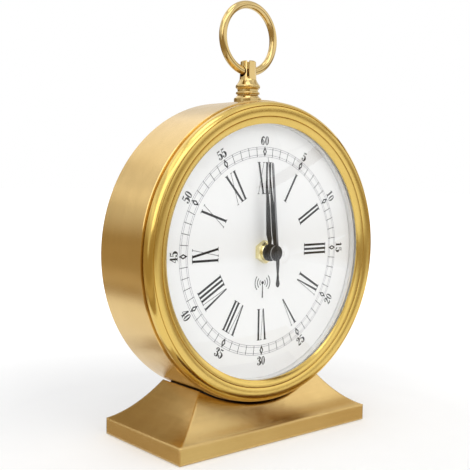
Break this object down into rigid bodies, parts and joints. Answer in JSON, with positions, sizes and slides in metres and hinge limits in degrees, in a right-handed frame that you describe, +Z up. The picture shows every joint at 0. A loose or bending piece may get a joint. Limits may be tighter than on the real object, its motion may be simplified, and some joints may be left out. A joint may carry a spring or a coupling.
{
  "type": "table clock",
  "caption": "Round brass table clock in a shallow drum on a flared pedestal base, with a swinging ring on a turned finial, a printed dial behind domed glass and a quartz movement.",
  "frame": {"origin": "middle of the base's underside, on the surface that the clock stands on", "axes": "+Z up, the dial faces -Y, +X to the right of a person who reads the dial"},
  "size_m": [0.1646, 0.068, 0.2397],
  "materials": {
    "satin_brass": "satin",
    "polished_brass": "polished",
    "turned_brass": "turned",
    "steel": "zinc plated",
    "spring_steel": "nickel plated",
    "back_paint": "satin black",
    "dial_white": "printed satin",
    "dial_board": "mill",
    "hand_black": "black",
    "clear_glass": "clear",
    "black_rubber": "matte",
    "pale_silicone": "matte",
    "grey_plastic": "moulded",
    "white_plastic": "moulded",
    "black_plastic": "moulded",
    "gear_plastic": "moulded",
    "black_felt": "felt",
    "board_green": "printed circuit board",
    "copper_wire": "enamelled winding",
    "ferrite": "sintered",
    "battery_skin": "printed sleeve"
  },
  "bodies": {
    "clock_body": {"base_casting": "satin_brass", "bottom_plate": "steel", "bottom_plate_screws": "steel", "felt_pad": "black_felt", "saddle_pad": "black_rubber", "saddle_screws": "steel", "saddle_nut_plate": "steel", "drum_case": "satin_brass", "back_plate": "back_paint", "back_plate_screws": "steel", "case_posts": "turned_brass", "bezel": "polished_brass", "glass": "clear_glass", "glass_gasket": "pale_silicone", "spacer_ring": "white_plastic", "dial": "dial_white", "dial_plate": "dial_board", "dial_clips": "spring_steel", "dial_clip_screws": "steel", "finial": "polished_brass", "finial_washer": "steel", "finial_nut": "steel", "movement_front_case": "black_plastic", "movement_rear_case": "black_plastic", "threaded_bush": "turned_brass", "rubber_washer": "black_rubber", "dial_nut": "turned_brass", "centre_plate": "white_plastic", "rear_plate": "white_plastic", "minute_stator": "steel", "seconds_stator": "steel", "minute_coil": "copper_wire", "seconds_coil": "copper_wire", "circuit_board": "board_green", "control_chip": "black_plastic", "quartz_crystal": "spring_steel", "ferrite_rod": "ferrite", "antenna_coil": "copper_wire", "button_switches": "black_plastic", "battery": "battery_skin", "positive_contact": "spring_steel", "negative_contact": "spring_steel"},
    "hour": {"hour_hand": "hand_black", "hour_wheel": "gear_plastic"},
    "minute": {"minute_hand": "hand_black", "minute_wheel": "gear_plastic"},
    "second": {"second_hand": "hand_black", "seconds_wheel": "gear_plastic"},
    "motion_gear": {"motion_wheel": "gear_plastic"},
    "third_gear": {"third_wheel": "gear_plastic"},
    "minute_motor_rotor": {"minute_rotor": "ferrite"},
    "fourth_gear": {"fourth_wheel": "gear_plastic"},
    "seconds_motor_rotor": {"seconds_rotor": "ferrite"},
    "ring": {"hanging_ring": "polished_brass"},
    "button_set": {"set_button": "grey_plastic"},
    "button_receive": {"receive_button": "grey_plastic"},
    "button_reset": {"reset_button": "grey_plastic"}
  },
  "joints": [
    {"name": "minute_spin", "type": "hinge", "parent": "clock_body", "child": "minute", "pos_m": [0, 0, 0.1021], "axis": [0, 1, 0], "continuous": true},
    {"name": "hour_spin", "type": "hinge", "parent": "clock_body", "child": "hour", "pos_m": [0, 0, 0.1021], "axis": [0, 1, 0], "continuous": true},
    {"name": "motion_spin", "type": "hinge", "parent": "clock_body", "child": "motion_gear", "pos_m": [0, 0, 0.1105], "axis": [0, 1, 0], "continuous": true},
    {"name": "third_spin", "type": "hinge", "parent": "clock_body", "child": "third_gear", "pos_m": [-0.00721, 0, 0.10931], "axis": [0, 1, 0], "continuous": true},
    {"name": "minute_rotor_spin", "type": "hinge", "parent": "clock_body", "child": "minute_motor_rotor", "pos_m": [-0.01423, 0, 0.11336], "axis": [0, 1, 0], "continuous": true},
    {"name": "second_spin", "type": "hinge", "parent": "clock_body", "child": "second", "pos_m": [0, 0, 0.1021], "axis": [0, 1, 0], "continuous": true},
    {"name": "fourth_spin", "type": "hinge", "parent": "clock_body", "child": "fourth_gear", "pos_m": [0.00727, 0, 0.1063], "axis": [0, 1, 0], "continuous": true},
    {"name": "seconds_rotor_spin", "type": "hinge", "parent": "clock_body", "child": "seconds_motor_rotor", "pos_m": [0.01195, 0, 0.109], "axis": [0, 1, 0], "continuous": true},
    {"name": "ring_swing", "type": "hinge", "parent": "clock_body", "child": "ring", "pos_m": [0, -0.0027, 0.2008], "axis": [1, 0, 0], "range_deg": [-126, 120]},
    {"name": "set_press", "type": "slide", "parent": "clock_body", "child": "button_set", "axis": [0, -1, 0], "range_m": [0, 0.0005], "stiffness_N_per_m": 300},
    {"name": "receive_press", "type": "slide", "parent": "clock_body", "child": "button_receive", "axis": [0, -1, 0], "range_m": [0, 0.0005], "stiffness_N_per_m": 300},
    {"name": "reset_press", "type": "slide", "parent": "clock_body", "child": "button_reset", "axis": [0, -1, 0], "range_m": [0, 0.0005], "stiffness_N_per_m": 300}
  ],
  "couplings": [
    {"joint": "hour_spin", "follows": "minute_spin", "ratio": 0.083333},
    {"joint": "motion_spin", "follows": "minute_spin", "ratio": -0.33333},
    {"joint": "third_spin", "follows": "minute_spin", "ratio": -7.5},
    {"joint": "minute_rotor_spin", "follows": "minute_spin", "ratio": 60},
    {"joint": "fourth_spin", "follows": "second_spin", "ratio": -6},
    {"joint": "seconds_rotor_spin", "follows": "second_spin", "ratio": 30}
  ]
}
